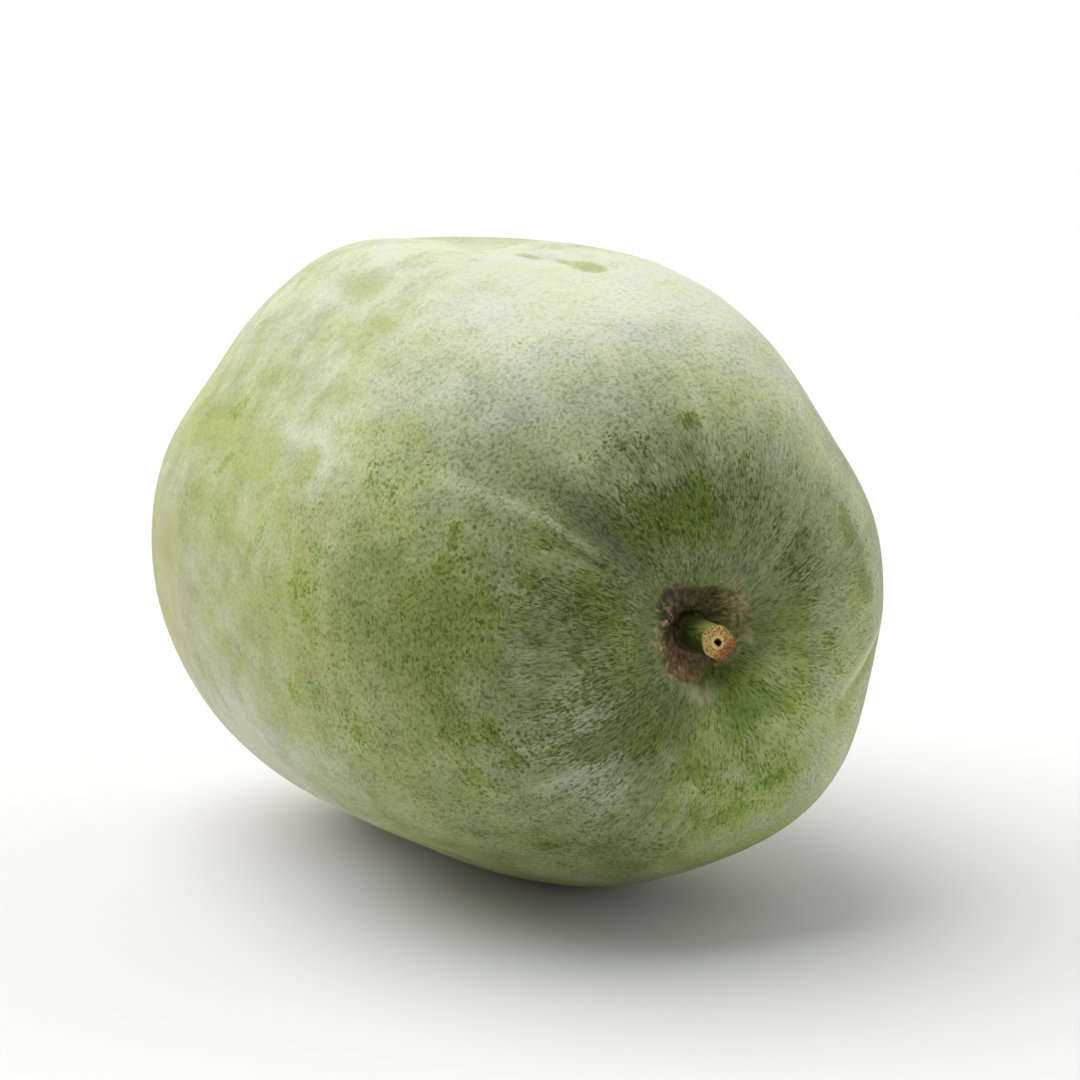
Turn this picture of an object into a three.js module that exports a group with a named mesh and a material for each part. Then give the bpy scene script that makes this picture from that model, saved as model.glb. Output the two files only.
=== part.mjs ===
// A winter melon (wax gourd) lying on its side: one barrel-shaped fruit and the cut stub of its stalk.
// Millimetres, +Z up. The fruit's long axis runs along Y, its stem end towards -Y.
// The origin is at the bottom centre of the whole object's box, so the fruit lies on z = 0.
import * as THREE from "three";

// Driving dimensions of the fruit, in millimetres.
const GIRTH_RADIUS = 130;
const STEM_HALF = { length: 188, fullness: 2.35 };
const TAIL_HALF = { length: 152, fullness: 2.8 };
const BASIN = { depth: 24, width: 46, power: 2 };
const CAVITY = { depth: 14, width: 16, power: 3 };
const NAVEL = { depth: 4, width: 14, power: 2 };
const GROUND_SPOT_HEIGHT = -126.6;
const CALM_RADIUS = 25;

// Broad swells and hollows along the rind. Around is degrees about the long axis, from +X towards +Z;
// from and to are distances along the rind from the middle of the cavity; height is out of the rind.
const SWELLS = [
  { around: 66, spread: 15, from: 100, to: 270, fade: 50, height: 4 },
  { around: 35, spread: 16, from: 60, to: 190, fade: 40, height: -4.5 },
  { around: 310, spread: 22, from: 50, to: 190, fade: 40, height: 6 },
  { around: 343, spread: 12, from: 70, to: 200, fade: 30, height: -1.2 },
  { around: 242, spread: 18, from: 110, to: 300, fade: 50, height: -6 },
  { around: 142, spread: 14, from: 230, to: 380, fade: 40, height: -6 },
  { around: 188, spread: 24, from: 270, to: 420, fade: 60, height: 1.5 },
  { around: 110, spread: 10, from: 230, to: 340, fade: 40, height: 5 },
  { around: 88, spread: 10, from: 180, to: 320, fade: 40, height: -6 },
];

// Two folds that run out of the stem end: a low crest with a valley on the left of its route, steep beside
// the crest and gentle beyond. A route is a few points of [around in degrees, distance along the rind].
const FOLDS = [
  { route: [[142, 48], [141, 90], [143, 116], [146, 145], [148, 165]], depth: 7, width: 8, crest: 1.2 },
  { route: [[324, 66], [336, 76], [346, 91], [351, 105], [355, 122]], depth: 3, width: 5, crest: 1 },
];
const FOLD_FADE = { in: 0.15, out: 0.3 };
const FOLD_ROUNDING = 3;

// The stub of the stalk: radius and distance in front of the cavity's floor, from its foot to its cut.
// Its section is a ribbed oval, widest towards one side.
const STEM_CUT = 22;
const STEM_GAP = 0.3;
const STEM_FOOT_RADIUS = 8.4;
const STEM_RINGS = [
  { out: 4, radius: 7.3 },
  { out: 8, radius: 6.7 },
  { out: 14, radius: 6.6 },
  { out: 19, radius: 6.8 },
  { out: STEM_CUT - 0.6, radius: 7 },
];
const STEM_CUT_RADIUS = 6.7;
const STEM_RIBS = { count: 5, share: 0.025 };
const STEM_OVAL = { towards: 320, share: 0.1 };

// Mesh divisions.
const PROFILE_STEPS = 2000;
const FRUIT_SIDES = 72;
const FRUIT_RINGS = 48;
const END_CROWDING = 0.1;
const STEM_SIDES = 30;
const STEM_FOOT_RINGS = 3;

const radians = THREE.MathUtils.degToRad;

// How far a dimple presses in at a distance from the axis.
function dimple({ depth, width, power }, radius) {
  return depth * Math.exp(-Math.pow(radius / width, power));
}

// The stem end's surface along Y, at a distance from the axis.
function stemEndY(radius) {
  const { length, fullness } = STEM_HALF;
  const bare = length * Math.pow(1 - Math.pow(radius / GIRTH_RADIUS, fullness), 1 / fullness);
  return dimple(BASIN, radius) + dimple(CAVITY, radius) - bare;
}

// The outline in a half plane through the axis, from the cavity's middle to the blossom end.
function outline() {
  const points = [];
  for (let i = 0; i <= PROFILE_STEPS; i++) {
    const turn = (Math.PI / 2) * (1 - i / PROFILE_STEPS);
    const radius = GIRTH_RADIUS * Math.pow(Math.cos(turn), 2 / STEM_HALF.fullness);
    points.push(new THREE.Vector2(i ? radius : 0, stemEndY(i ? radius : 0)));
  }
  for (let i = 1; i <= PROFILE_STEPS; i++) {
    const turn = (Math.PI / 2) * (i / PROFILE_STEPS);
    const power = 2 / TAIL_HALF.fullness;
    const radius = i < PROFILE_STEPS ? GIRTH_RADIUS * Math.pow(Math.cos(turn), power) : 0;
    const y = TAIL_HALF.length * Math.pow(Math.sin(turn), power) - dimple(NAVEL, radius);
    points.push(new THREE.Vector2(radius, y));
  }
  return points;
}

const OUTLINE = outline();
const REACH = [0];
for (let i = 1; i < OUTLINE.length; i++) {
  REACH.push(REACH[i - 1] + OUTLINE[i].distanceTo(OUTLINE[i - 1]));
}
const FULL_REACH = REACH[REACH.length - 1];

// The outline's point at a distance along the rind.
function outlineAt(along) {
  let low = 0;
  let high = REACH.length - 1;
  while (high - low > 1) {
    const middle = (low + high) >> 1;
    if (REACH[middle] <= along) low = middle;
    else high = middle;
  }
  const share = (along - REACH[low]) / (REACH[high] - REACH[low]);
  return OUTLINE[low].clone().lerp(OUTLINE[high], share);
}

function turnBetween(a, b) {
  return THREE.MathUtils.euclideanModulo(a - b + 180, 360) - 180;
}

function swellHeight({ around, spread, from, to, fade, height }, angle, along) {
  const beside = Math.exp(-Math.pow(turnBetween(angle, around) / spread, 2));
  const begins = THREE.MathUtils.smoothstep(along, from - fade, from + fade);
  const ends = 1 - THREE.MathUtils.smoothstep(along, to - fade, to + fade);
  return height * beside * begins * ends;
}

// Where a point of the rind is beside a route: its distance, positive on the left, and how far along the
// route the nearest place is, from 0 to 1.
function besideRoute(route, angle, along, radius) {
  let nearest = { away: Infinity, share: 0 };
  for (let i = 1; i < route.length; i++) {
    const [startAngle, startAlong] = route[i - 1];
    const [endAngle, endAlong] = route[i];
    const middleRadius = (outlineAt(startAlong).x + outlineAt(endAlong).x) / 2;
    const leg = new THREE.Vector2(
      radians(turnBetween(endAngle, startAngle)) * middleRadius,
      endAlong - startAlong,
    );
    const here = new THREE.Vector2(
      radians(turnBetween(angle, startAngle)) * radius,
      along - startAlong,
    );
    const share = THREE.MathUtils.clamp(here.dot(leg) / leg.lengthSq(), 0, 1);
    const side = Math.sign(leg.cross(here));
    const away = here.distanceTo(leg.multiplyScalar(share));
    if (away < Math.abs(nearest.away)) {
      nearest = { away: side * away, share: (i - 1 + share) / (route.length - 1) };
    }
  }
  return nearest;
}

function foldHeight({ route, depth, width, crest }, angle, along, radius) {
  const { away, share } = besideRoute(route, angle, along, radius);
  const left = (away + Math.hypot(away, FOLD_ROUNDING)) / 2 / width;
  const valley = depth * left * Math.exp(1 - left);
  const ridge = crest * Math.exp(-Math.pow(away / width, 2));
  const begins = THREE.MathUtils.smoothstep(share, 0, FOLD_FADE.in);
  const ends = 1 - THREE.MathUtils.smoothstep(share, FOLD_FADE.out, 1);
  return (ridge - valley) * begins * ends;
}

// One point of the rind, with the swells and folds laid on the outline and the ground spot pressed flat.
function rindPoint(angle, along) {
  const here = outlineAt(along);
  const step = 0.5;
  const before = outlineAt(Math.max(0, along - step));
  const after = outlineAt(Math.min(FULL_REACH, along + step));
  const out = new THREE.Vector2(after.y - before.y, before.x - after.x).normalize();
  let height = 0;
  for (const swell of SWELLS) height += swellHeight(swell, angle, along);
  for (const fold of FOLDS) height += foldHeight(fold, angle, along, here.x);
  height *= THREE.MathUtils.smoothstep(here.x, 0, CALM_RADIUS);
  here.addScaledVector(out, height);
  const turn = radians(angle);
  return new THREE.Vector3(
    here.x * Math.cos(turn),
    here.y,
    Math.max(here.x * Math.sin(turn), GROUND_SPOT_HEIGHT),
  );
}

// A closed skin over rings of points, with one point at each end. Rings run the same way round.
function skin(first, rings, last) {
  const sides = rings[0].length;
  const points = [first, ...rings.flat(), last];
  const at = (ring, side) => 1 + ring * sides + (side % sides);
  const faces = [];
  for (let side = 0; side < sides; side++) {
    faces.push(0, at(0, side), at(0, side + 1));
    for (let ring = 1; ring < rings.length; ring++) {
      faces.push(at(ring - 1, side), at(ring, side), at(ring, side + 1));
      faces.push(at(ring - 1, side), at(ring, side + 1), at(ring - 1, side + 1));
    }
    faces.push(at(rings.length - 1, side), points.length - 1, at(rings.length - 1, side + 1));
  }
  const geometry = new THREE.BufferGeometry().setFromPoints(points);
  geometry.setIndex(faces);
  geometry.computeVertexNormals();
  return geometry;
}

// The fruit, ring by ring from its cavity to its blossom end, with the rings closer together at both ends.
function fruitGeometry() {
  const rings = [];
  for (let i = 1; i < FRUIT_RINGS; i++) {
    const share = i / FRUIT_RINGS;
    const along = FULL_REACH * (share - END_CROWDING * Math.sin(2 * Math.PI * share));
    const ring = [];
    for (let side = 0; side < FRUIT_SIDES; side++) {
      ring.push(rindPoint((360 * side) / FRUIT_SIDES, along));
    }
    rings.push(ring);
  }
  return skin(rindPoint(0, 0), rings, rindPoint(0, FULL_REACH));
}

// The stub stands on the cavity's floor. Its foot follows the floor at a small gap and its cut is flat.
function stemGeometry() {
  const floorY = stemEndY(0);
  const ringAt = (radius, yAt) => {
    const ring = [];
    for (let side = 0; side < STEM_SIDES; side++) {
      const turn = (2 * Math.PI * side) / STEM_SIDES;
      const ribs = STEM_RIBS.share * Math.cos(STEM_RIBS.count * turn);
      const oval = STEM_OVAL.share * Math.cos(2 * (turn - radians(STEM_OVAL.towards)));
      const ribbed = radius * (1 + ribs + oval);
      const z = ribbed * Math.sin(turn);
      ring.push(new THREE.Vector3(ribbed * Math.cos(turn), yAt(ribbed), z));
    }
    return ring;
  };
  const cutY = () => floorY - STEM_CUT;
  const rings = [ringAt(STEM_CUT_RADIUS, cutY)];
  for (const { out, radius } of [...STEM_RINGS].reverse()) {
    rings.push(ringAt(radius, () => floorY - out));
  }
  for (let i = STEM_FOOT_RINGS; i > 0; i--) {
    const radius = (STEM_FOOT_RADIUS * i) / STEM_FOOT_RINGS;
    rings.push(ringAt(radius, (ribbed) => stemEndY(ribbed) - 2 * STEM_GAP));
  }
  const cutMiddle = new THREE.Vector3(0, cutY(), 0);
  const footMiddle = new THREE.Vector3(0, floorY - 2 * STEM_GAP, 0);
  return skin(cutMiddle, rings, footMiddle);
}

const fruit = new THREE.Mesh(
  fruitGeometry(),
  new THREE.MeshStandardMaterial({ color: 0x9aa882, roughness: 0.7, metalness: 0 }),
);
fruit.name = "fruit";

const stem = new THREE.Mesh(
  stemGeometry(),
  new THREE.MeshStandardMaterial({ color: 0xb99a5e, roughness: 0.85, metalness: 0 }),
);
stem.name = "stem";

const melon = new THREE.Group();
melon.add(fruit, stem);
const box = new THREE.Box3().setFromObject(melon);
const middle = box.getCenter(new THREE.Vector3());
melon.position.set(-middle.x, -middle.y, -box.min.z);

export default melon;
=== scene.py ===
# A winter melon (wax gourd) lying on its side: the waxy mottled fruit, and the cut stub of its stalk.
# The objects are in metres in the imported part's frame, +Z up, stem end towards -Y.
import math
import bpy
import numpy as np
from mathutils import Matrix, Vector, noise


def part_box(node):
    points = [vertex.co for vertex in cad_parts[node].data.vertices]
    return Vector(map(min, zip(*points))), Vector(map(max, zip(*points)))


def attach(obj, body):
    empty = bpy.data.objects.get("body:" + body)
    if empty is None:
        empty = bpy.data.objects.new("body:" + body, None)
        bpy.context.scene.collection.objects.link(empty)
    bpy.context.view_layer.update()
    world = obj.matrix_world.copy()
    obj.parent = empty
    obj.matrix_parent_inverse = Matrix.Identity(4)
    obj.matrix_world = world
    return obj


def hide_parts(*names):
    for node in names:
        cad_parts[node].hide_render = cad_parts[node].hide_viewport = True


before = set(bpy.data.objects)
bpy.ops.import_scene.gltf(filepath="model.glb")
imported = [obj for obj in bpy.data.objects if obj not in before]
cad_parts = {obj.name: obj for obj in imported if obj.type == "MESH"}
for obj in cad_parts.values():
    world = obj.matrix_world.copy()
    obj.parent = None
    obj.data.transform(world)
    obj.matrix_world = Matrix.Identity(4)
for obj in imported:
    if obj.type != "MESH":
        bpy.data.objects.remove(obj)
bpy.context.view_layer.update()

# ---------------------------------------------------------------------------------------------------
# The fruit: one whole wax gourd, a firm barrel with a thin green rind. Its mottled skin lies under a
# powdery wax bloom that handling has rubbed off in places. It grew round a dark corky cavity where the
# stalk comes out, with painted shade making its middle and its side under the shoulder darker still, and
# it ends in a small corky blossom scar.

MM = 0.001

# Sizes in millimetres. The two halves meet at the girth, and each narrows by its own fullness.
GIRTH_RADIUS = 130
STEM_HALF = {"length": 188, "fullness": 2.35}
TAIL_HALF = {"length": 152, "fullness": 2.8}
BASIN = {"depth": 24, "width": 46, "power": 2}
CAVITY = {"depth": 14, "width": 16, "power": 3}
NAVEL = {"depth": 4, "width": 14, "power": 2}
GROUND_SPOT_HEIGHT = -126.6
CALM_RADIUS = 25

# Broad swells and hollows. Around is degrees about the long axis, from +X towards +Z; along is
# millimetres along the rind from the middle of the cavity.
SWELLS = [
    dict(around=66, spread=15, start=100, end=270, fade=50, height=4),
    dict(around=35, spread=16, start=60, end=190, fade=40, height=-4.5),
    dict(around=310, spread=22, start=50, end=190, fade=40, height=6),
    dict(around=343, spread=12, start=70, end=200, fade=30, height=-1.2),
    dict(around=242, spread=18, start=110, end=300, fade=50, height=-6),
    dict(around=142, spread=14, start=230, end=380, fade=40, height=-6),
    dict(around=188, spread=24, start=270, end=420, fade=60, height=1.5),
    dict(around=110, spread=10, start=230, end=340, fade=40, height=5),
    dict(around=88, spread=10, start=180, end=320, fade=40, height=-6),
]
# Two folds that run out of the stem end: a low crest with a valley on the left of its route.
FOLDS = [
    dict(route=[(142, 48), (141, 90), (143, 116), (146, 145), (148, 165)], depth=7, width=8, crest=1.2),
    dict(route=[(324, 66), (336, 76), (346, 91), (351, 105), (355, 122)], depth=3, width=5, crest=1),
]
FOLD_ROUNDING = 3


def dimple(shape, radius):
    return shape["depth"] * np.exp(-((radius / shape["width"]) ** shape["power"]))


def stem_end_y(radius):
    fullness = STEM_HALF["fullness"]
    bare = STEM_HALF["length"] * (1 - (radius / GIRTH_RADIUS) ** fullness) ** (1 / fullness)
    return dimple(BASIN, radius) + dimple(CAVITY, radius) - bare


def outline(steps=2000):
    """Distance along the rind, radius and y, from the cavity's middle to the blossom end."""
    turn = np.linspace(math.pi / 2, 0, steps + 1)
    stem_radius = GIRTH_RADIUS * np.cos(turn) ** (2 / STEM_HALF["fullness"])
    stem_radius[0] = 0
    power = 2 / TAIL_HALF["fullness"]
    turn = turn[::-1][1:]
    tail_radius = GIRTH_RADIUS * np.cos(turn) ** power
    tail_radius[-1] = 0
    tail_y = TAIL_HALF["length"] * np.sin(turn) ** power - dimple(NAVEL, tail_radius)
    radius = np.concatenate([stem_radius, tail_radius])
    y = np.concatenate([stem_end_y(stem_radius), tail_y])
    along = np.concatenate([[0], np.cumsum(np.hypot(np.diff(radius), np.diff(y)))])
    return along, radius, y


OUTLINE_ALONG, OUTLINE_RADIUS, OUTLINE_Y = outline()
FULL_REACH = OUTLINE_ALONG[-1]


def outline_at(along):
    return np.interp(along, OUTLINE_ALONG, OUTLINE_RADIUS), np.interp(along, OUTLINE_ALONG, OUTLINE_Y)


def smooth(value, low, high):
    share = np.clip((value - low) / (high - low), 0, 1)
    return share * share * (3 - 2 * share)


def turn_between(a, b):
    return (a - b + 180) % 360 - 180


def swell_height(swell, around, along):
    beside = np.exp(-((turn_between(around, swell["around"]) / swell["spread"]) ** 2))
    fade = swell["fade"]
    begins = smooth(along, swell["start"] - fade, swell["start"] + fade)
    ends = 1 - smooth(along, swell["end"] - fade, swell["end"] + fade)
    return swell["height"] * beside * begins * ends


def beside_route(route, around, along, radius):
    """Each point's distance from a route, positive on its left, and its place along it from 0 to 1."""
    away = np.full(np.shape(around), np.inf)
    share = np.zeros(np.shape(around))
    for leg, (start, end) in enumerate(zip(route[:-1], route[1:])):
        start_around, start_along = start
        end_around, end_along = end
        middle_radius = (outline_at(start_along)[0] + outline_at(end_along)[0]) / 2
        leg_x = math.radians(turn_between(end_around, start_around)) * middle_radius
        leg_y = end_along - start_along
        here_x = np.radians(turn_between(around, start_around)) * radius
        here_y = along - start_along
        done = np.clip((here_x * leg_x + here_y * leg_y) / (leg_x**2 + leg_y**2), 0, 1)
        distance = np.hypot(here_x - done * leg_x, here_y - done * leg_y)
        nearer = distance < abs(away)
        away = np.where(nearer, distance * np.sign(leg_x * here_y - leg_y * here_x), away)
        share = np.where(nearer, (leg + done) / (len(route) - 1), share)
    return away, share


def fold_height(fold, around, along, radius):
    away, share = beside_route(fold["route"], around, along, radius)
    left = (away + np.hypot(away, FOLD_ROUNDING)) / 2 / fold["width"]
    valley = fold["depth"] * left * np.exp(1 - left)
    crest = fold["crest"] * np.exp(-((away / fold["width"]) ** 2))
    return (crest - valley) * smooth(share, 0, 0.15) * (1 - smooth(share, 0.3, 1))


def rind_height(around, along, radius):
    height = sum(swell_height(swell, around, along) for swell in SWELLS)
    height = height + sum(fold_height(fold, around, along, radius) for fold in FOLDS)
    return height * smooth(radius, 0, CALM_RADIUS)


def ring_places(closest=0.9, widest=3.3, near=15, far=150):
    """Distances along the rind for the mesh's rings, close together round the cavity."""
    places = [0.0]
    while places[-1] < FULL_REACH:
        places.append(places[-1] + closest + (widest - closest) * smooth(places[-1], near, far))
    return np.array(places) * FULL_REACH / places[-1]


def rough(points, size, seed):
    """Smooth noise from -1 to 1 at each point, with features of the given size in millimetres."""
    shift = Vector((seed * 7.3, seed * 3.1, seed * 5.7))
    return np.array([noise.noise(Vector(p) / size + shift) for p in points])


def skin(name, first, rings, last):
    """A closed skin over rings of points, with one point at each end."""
    count, sides = rings.shape[:2]
    points = np.concatenate([[first], rings.reshape(-1, 3), [last]])
    ring, side = np.meshgrid(np.arange(count - 1), np.arange(sides), indexing="ij")
    near = 1 + ring * sides + side
    next_side = 1 + ring * sides + (side + 1) % sides
    quads = np.stack([near, near + sides, next_side + sides, next_side], -1).reshape(-1, 4).tolist()
    top, bottom = 1, 1 + (count - 1) * sides
    caps = []
    for k in range(sides):
        caps.append((0, top + k, top + (k + 1) % sides))
        caps.append((bottom + k, len(points) - 1, bottom + (k + 1) % sides))
    mesh = bpy.data.meshes.new(name)
    mesh.from_pydata(points.tolist(), [], quads + caps)
    mesh.shade_smooth()
    piece = bpy.data.objects.new(name, mesh)
    bpy.context.scene.collection.objects.link(piece)
    return piece


SIDES = 448
along = ring_places()[1:-1]
around = np.arange(SIDES) * 360 / SIDES
AROUND, ALONG = np.meshgrid(around, along)
TURN = np.radians(AROUND)
RADIUS, Y = outline_at(ALONG)
before, after = outline_at(ALONG - 0.5), outline_at(ALONG + 0.5)
lean = np.hypot(after[0] - before[0], after[1] - before[1])
out_radius, out_y = (after[1] - before[1]) / lean, (before[0] - after[0]) / lean


def grain(turns, reach, seed):
    """Noise drawn out along the rind: turns sets how many grains go round, reach is a grain's length."""
    points = np.stack([turns * np.cos(TURN), turns * np.sin(TURN), ALONG / reach], -1).reshape(-1, 3)
    return rough(points, 1, seed).reshape(ALONG.shape)


def pebble(size, seed):
    points = np.stack([RADIUS * np.cos(TURN), Y, RADIUS * np.sin(TURN)], -1).reshape(-1, 3)
    return rough(points, size, seed).reshape(ALONG.shape)


# Over the body the fine relief only presses in, so the rind stays inside its broad shape. Faint ribs run
# out from the cavity, whose rim wanders and whose wall is torn cork. The blossom scar is crumbled.
WAVES = [dict(size=42, depth=0.45, seed=1), dict(size=17, depth=0.16, seed=2)]
RIBS = [dict(turns=5, reach=60, depth=0.35, seed=4), dict(turns=14, reach=40, depth=0.16, seed=5)]
RIM_WANDERS = [dict(turns=1.5, reach=30, depth=1.2, seed=6), dict(turns=4, reach=12, depth=0.8, seed=7)]
RIM_EDGE = 29
CORK_CRUMB = {"size": 2.4, "depth": 0.5, "seed": 8}
CORK_TEARS = {"turns": 9, "reach": 5, "depth": 0.35, "seed": 9}
SCAR_CRUMB = {"size": 1.6, "depth": 0.4, "seed": 10}
height = rind_height(AROUND, ALONG, RADIUS)
calm = smooth(RADIUS, 10, 40)
for wave in WAVES:
    height += wave["depth"] * (pebble(wave["size"], wave["seed"]) - 1) * calm
ribbed = smooth(ALONG, 28, 42) * (1 - smooth(ALONG, 70, 150))
for rib in RIBS:
    height += rib["depth"] * (grain(rib["turns"], rib["reach"], rib["seed"]) - 1) * ribbed
at_rim = np.exp(-(((ALONG - 25) / 9) ** 2)) * smooth(RADIUS, 9, 14)
for wander in RIM_WANDERS:
    height += wander["depth"] * grain(wander["turns"], wander["reach"], wander["seed"]) * at_rim
torn_wall = (1 - smooth(ALONG, RIM_EDGE - 4, RIM_EDGE + 8)) * smooth(ALONG, 5, 11)
height += torn_wall * CORK_CRUMB["depth"] * pebble(CORK_CRUMB["size"], CORK_CRUMB["seed"])
tears = grain(CORK_TEARS["turns"], CORK_TEARS["reach"], CORK_TEARS["seed"])
height += torn_wall * CORK_TEARS["depth"] * tears
navel = 1 - smooth(FULL_REACH - ALONG, 6, 14)
height += navel * SCAR_CRUMB["depth"] * pebble(SCAR_CRUMB["size"], SCAR_CRUMB["seed"])
rings = np.stack([
    (RADIUS + out_radius * height) * np.cos(TURN),
    Y + out_y * height,
    np.maximum((RADIUS + out_radius * height) * np.sin(TURN), GROUND_SPOT_HEIGHT),
], -1)

# The rind's widest places, without its fine relief, stand where the frame's fruit stands.
low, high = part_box("fruit")
coarse = rind_height(AROUND, ALONG, RADIUS)
coarse_x = (RADIUS + out_radius * coarse) * np.cos(TURN)
coarse_y = Y + out_y * coarse
axis = Vector((
    (low.x + high.x) / 2 - (coarse_x.max() + coarse_x.min()) / 2 * MM,
    (low.y + high.y) / 2 - (coarse_y.max() + coarse_y.min()) / 2 * MM,
    -GROUND_SPOT_HEIGHT * MM,
))


def place(points):
    return np.array(points) * MM + np.array(axis)


fruit = skin("fruit_rind", place([0, stem_end_y(0), 0]), place(rings), place([0, OUTLINE_Y[-1], 0]))


def paint_vectors(piece, name, x, y, z, ends):
    """Stores one vector for each point of a skin: its rings, and its two end points."""
    layer = piece.data.attributes.new(name, "FLOAT_VECTOR", "POINT")
    vectors = np.concatenate([[ends[0]], np.stack([x, y, z], -1).reshape(-1, 3), [ends[1]]])
    layer.data.foreach_set("vector", vectors.astype(np.float32).ravel())


def paint(piece, name, values, ends):
    """Stores one number for each point of a skin: its rings, and its two end points."""
    layer = piece.data.attributes.new(name, "FLOAT", "POINT")
    numbers = np.concatenate([[ends[0]], values.ravel(), [ends[1]]])
    layer.data.foreach_set("value", numbers.astype(np.float32))


growth_ends = [(0, 0, 0), (0, 0, FULL_REACH * MM)]
paint_vectors(fruit, "growth", np.cos(TURN), np.sin(TURN), ALONG * MM, growth_ends)


def patch_mask(patches):
    """Soft patches that add up, each (around, along, half width in mm, half length in mm, strength)."""
    mask = np.zeros_like(ALONG)
    for place_around, place_along, wide, long, strength in patches:
        x = np.radians(turn_between(AROUND, place_around)) * RADIUS
        mask += strength * np.exp(-((x / wide) ** 2) - ((ALONG - place_along) / long) ** 2)
    return np.clip(mask, -1, 1)


# Where the wax bloom is thick, and with a minus sign where it is thin. It is thickest on the upper side
# behind the shoulder and on the blossom half.
BLOOM = [
    # The upper side behind the shoulder.
    (75, 185, 62, 58, 0.95), (110, 175, 34, 40, 0.45), (100, 270, 60, 90, 0.8), (60, 120, 30, 24, 0.35),
    (105, 120, 44, 22, 0.2), (100, 165, 16, 20, 0.05), (120, 155, 10, 40, 0.1), (120, 180, 12, 30, 0.06),
    (128, 158, 14, 22, 0.08), (133, 231, 9, 13, 0.38), (120, 250, 10, 40, 0.1), (120, 271, 13, 20, 0.27),
    (111, 290, 12, 16, 0.15), (120, 310, 10, 18, 0.12), (126, 329, 14, 20, 0.3), (136, 310, 24, 60, 0.25),
    # The left flank, from the first fold to the blossom half.
    (135, 175, 20, 45, 0.25), (150, 160, 10, 16, 0.08), (150, 208, 16, 24, 0.4), (150, 225, 26, 40, 0.25),
    (153, 222, 8, 12, -0.15), (165, 230, 10, 14, -0.08), (165, 250, 9, 12, 0.1), (164, 338, 7, 12, 0.25),
    (175, 318, 9, 15, -0.3), (172, 140, 22, 36, -0.1), (166, 133, 9, 10, -0.07), (180, 150, 10, 11, -0.22),
    (180, 212, 12, 24, -0.12), (180, 220, 10, 16, -0.06), (190, 126, 20, 18, -0.1),
    (192, 220, 16, 26, -0.1), (210, 120, 10, 8, -0.1), (200, 150, 50, 34, -0.05), (228, 155, 14, 26, -0.06),
    (210, 205, 16, 50, 0.14), (212, 215, 18, 26, 0.3), (190, 270, 60, 80, 0.08), (204, 268, 26, 36, 0.34),
    (205, 324, 14, 19, 0.37), (195, 320, 60, 60, 0.2), (233, 286, 47, 47, 1.7),
    # The far side, the underside and the blossom end.
    (0, 240, 120, 90, 0.7), (310, 310, 110, 90, 0.6), (0, 480, 900, 80, 0.4), (255, 151, 20, 19, 0.25),
    (250, 115, 24, 14, -0.08), (270, 106, 10, 16, -0.1), (285, 105, 18, 14, 0.12),
    # Round the stalk, above it.
    (62, 80, 16, 20, 0.12), (60, 68, 14, 10, 0.06), (66, 42, 12, 8, -0.06), (52, 74, 12, 8, 0.07),
    (90, 105, 6, 6, 0.15), (105, 90, 8, 9, -0.07), (112, 80, 14, 8, 0.05), (105, 60, 16, 12, -0.06),
    (104, 54, 10, 7, -0.08), (112, 64, 12, 9, 0.06), (120, 46, 9, 8, 0.08), (120, 79, 7, 11, 0.2),
    # In the next line, the last entry thins the bloom in the left fold's valley, part of its painted shade;
    # the line after it is a thin pale line along that fold's crest, partly a painted highlight.
    (135, 122, 9, 12, 0.1), (128, 97, 12, 7, 0.08), (130, 84, 6, 8, 0.05), (135, 66, 8, 10, -0.15),
    (142, 76, 2.5, 18, 0.25),
    # Round the stalk, to its left.
    (150, 74, 7, 20, 0.08), (158, 60, 14, 12, -0.06), (165, 65, 9, 9, -0.1), (163, 82, 9, 10, 0.12),
    (178, 36, 20, 7, 0.1), (172, 104, 12, 10, -0.07), (180, 103, 10, 10, -0.1), (195, 70, 34, 20, 0.09),
    (195, 80, 12, 10, 0.04), (200, 66, 24, 10, 0.08), (204, 70, 17, 13, 0.35), (200, 95, 9, 9, 0.06),
    (212, 98, 12, 12, 0.14), (215, 84, 10, 12, 0.1), (225, 82, 14, 26, 0.1), (228, 82, 14, 12, 0.2),
    (232, 72, 14, 14, 0.07), (240, 70, 10, 12, 0.08),
    # Round the stalk, below it.
    (261, 27, 6, 5, 0.35), (262, 45, 12, 8, -0.27), (270, 67, 9, 12, 0.2), (280, 48, 16, 14, -0.14),
    (285, 58, 9, 14, 0.2), (285, 75, 8, 9, 0.08), (300, 22, 16, 9, -0.3), (305, 42, 26, 10, -0.12),
    (305, 50, 24, 12, 0.12), (306, 46, 14, 9, 0.12), (305, 92, 16, 14, 0.1), (318, 58, 12, 12, 0.15),
    (318, 90, 20, 22, 0.35), (320, 104, 18, 12, 0.2),
    # Round the stalk, to its right.
    (330, 76, 8, 9.5, -0.2), (329, 77, 7, 8, -0.25), (345, 40, 10, 9, 0.12), (345, 50, 20, 10, -0.08),
    (347, 52, 30, 14, 0.1), (346, 56, 8, 8, 0.08), (345, 85, 22, 24, 0.22), (345, 112, 14, 12, 0.3),
    (2, 104, 16, 13, 0.3), (8, 46, 12, 8, -0.1), (10, 64, 14, 12, 0.1), (15, 55, 8, 8, 0.08),
    (12, 88, 16, 16, 0.06), (14, 80, 9, 9, -0.2), (18, 86, 11, 8, -0.12), (26, 88, 6, 6, -0.1),
    (25, 82, 14, 10, -0.07), (30, 64, 10, 9, -0.08), (30, 112, 20, 14, 0.15), (24, 112, 14, 16, 0.25),
    (42, 92, 22, 10, -0.09),
]
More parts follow.
